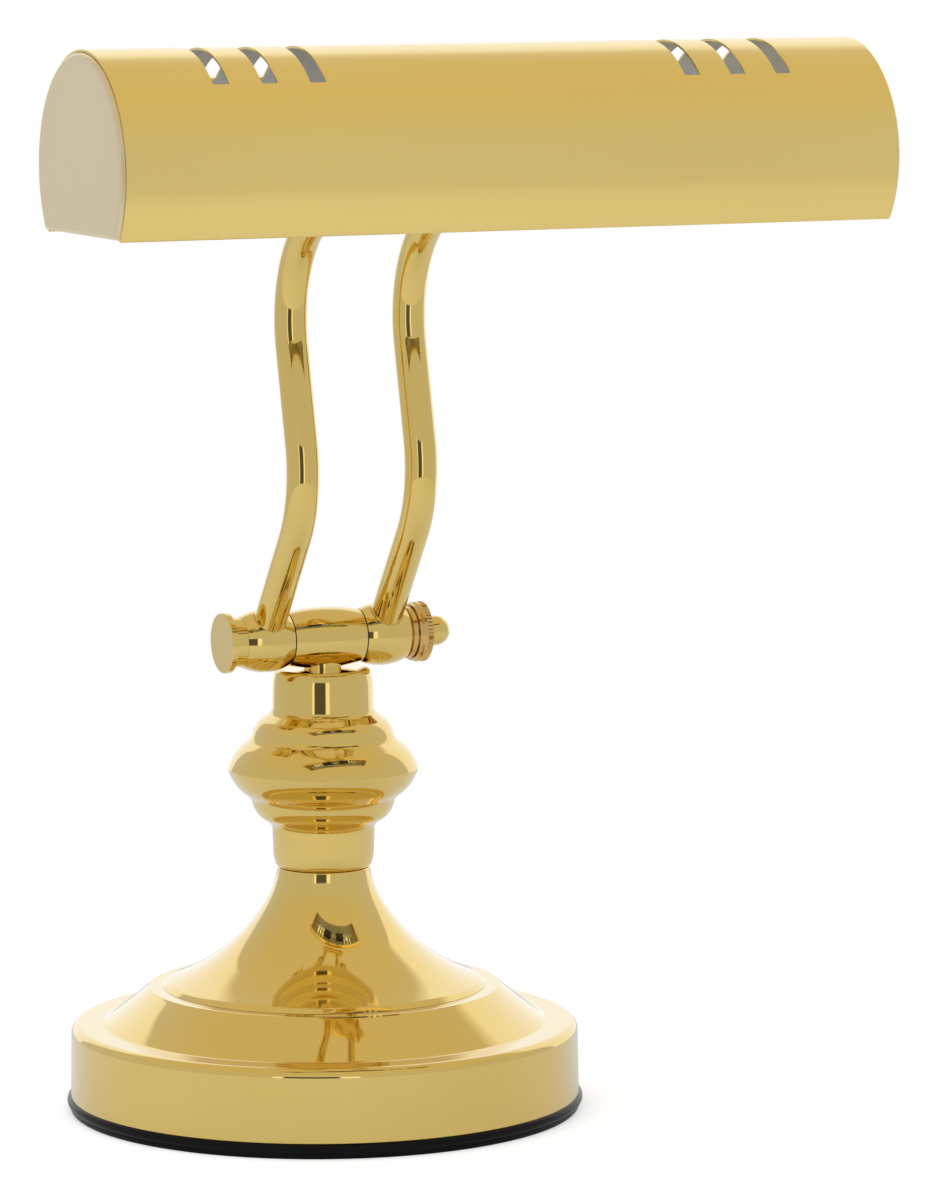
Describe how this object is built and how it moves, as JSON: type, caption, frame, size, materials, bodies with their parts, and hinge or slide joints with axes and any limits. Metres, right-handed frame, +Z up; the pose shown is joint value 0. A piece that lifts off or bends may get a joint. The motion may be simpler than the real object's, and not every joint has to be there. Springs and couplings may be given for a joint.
{
  "type": "piano lamp",
  "caption": "Brass piano lamp: round weighted base, turned column, twin bent arms on friction swivels and a long arched shade that tilts.",
  "frame": {"origin": "on the table under the column's axis, at the middle of the base's underside", "axes": "+Z up; X along the shade and both swivel axes, with the thumb nuts at +X; the shade hangs over -Y, the lamp's front; the cord inlet is at +Y"},
  "size_m": [0.254, 0.2394, 0.3475],
  "materials": {
    "polished_brass": "polished and lacquered",
    "knurled_brass": "polished, with a fine knurl",
    "shade_brass": "soft polish outside, pale grey-white paint inside",
    "lid_brass": "soft polish",
    "black_rubber": "smooth, slightly glossy",
    "cast_iron": "as cast",
    "black_steel": "black paint",
    "zinc_steel": "zinc plated",
    "black_plastic": "moulded",
    "holder_plastic": "moulded, off-white",
    "block_plastic": "moulded, off-white",
    "fibre": "dark hard fibre",
    "nickel": "bright shell",
    "bulb_glass": "clear",
    "filament_mount": "glass stem with thin metal wires",
    "lead_sheath": "smooth clear-gold sheath"
  },
  "bodies": {
    "base": {"base_pan": "polished_brass", "base_bell": "polished_brass", "base_ring": "black_rubber", "base_weight": "cast_iron", "bottom_plate": "black_steel", "plate_screws": "zinc_steel", "lamp_pipe": "zinc_steel", "pipe_washer": "zinc_steel", "pipe_nut": "zinc_steel", "cord_inlet": "black_plastic", "cord_inlet_nut": "black_plastic", "switch_housing": "black_plastic", "switch_nut": "polished_brass", "base_lead": "lead_sheath", "column_lower_shell": "polished_brass", "column_upper_shell": "polished_brass", "lower_barrel": "polished_brass"},
    "button": {"switch_button": "black_plastic"},
    "arms": {"lower_knuckle_left": "polished_brass", "lower_knuckle_right": "polished_brass", "lower_friction_washers": "fibre", "lower_pivot_bolt": "polished_brass", "lower_acorn_nut": "polished_brass", "upper_knuckle_left": "polished_brass", "upper_knuckle_right": "polished_brass", "upper_friction_washers": "fibre", "upper_pivot_bolt": "polished_brass", "upper_acorn_nut": "polished_brass", "arm_left": "polished_brass", "arm_right": "polished_brass", "arm_lead": "lead_sheath"},
    "lower_thumb": {"lower_thumb_nut": "knurled_brass"},
    "upper_thumb": {"upper_thumb_nut": "knurled_brass"},
    "shade": {"upper_barrel": "polished_brass", "shade_shell": "shade_brass", "end_lid_left": "lid_brass", "end_lid_right": "lid_brass", "shade_nipple": "zinc_steel", "nipple_nut": "zinc_steel", "lamp_bracket": "zinc_steel", "lampholder_left": "holder_plastic", "lampholder_right": "holder_plastic", "lampholder_nuts": "zinc_steel", "bulb_cap_left": "nickel", "bulb_cap_right": "nickel", "bulb_glass_left": "bulb_glass", "bulb_glass_right": "bulb_glass", "bulb_stem_left": "filament_mount", "bulb_stem_right": "filament_mount", "terminal_block": "block_plastic", "shade_leads": "lead_sheath"}
  },
  "joints": [
    {"name": "arm_tilt", "type": "hinge", "parent": "base", "child": "arms", "pos_m": [0, 0, 0.15355], "axis": [1, 0, 0], "range_deg": [-60, 60]},
    {"name": "shade_tilt", "type": "hinge", "parent": "arms", "child": "shade", "pos_m": [0, -0.06967, 0.312], "axis": [1, 0, 0], "range_deg": [-60, 60]},
    {"name": "lower_thumb_turn", "type": "hinge", "parent": "arms", "child": "lower_thumb", "pos_m": [0.034, 0, 0.15355], "axis": [1, 0, 0], "range_deg": [-30, 330]},
    {"name": "upper_thumb_turn", "type": "hinge", "parent": "arms", "child": "upper_thumb", "pos_m": [0.034, -0.06967, 0.312], "axis": [1, 0, 0], "range_deg": [-30, 330]},
    {"name": "switch_press", "type": "slide", "parent": "base", "child": "button", "axis": [-0.5, -0.866, 0], "range_m": [0, 0.0025], "stiffness_N_per_m": 400, "springref_m": -0.002}
  ]
}
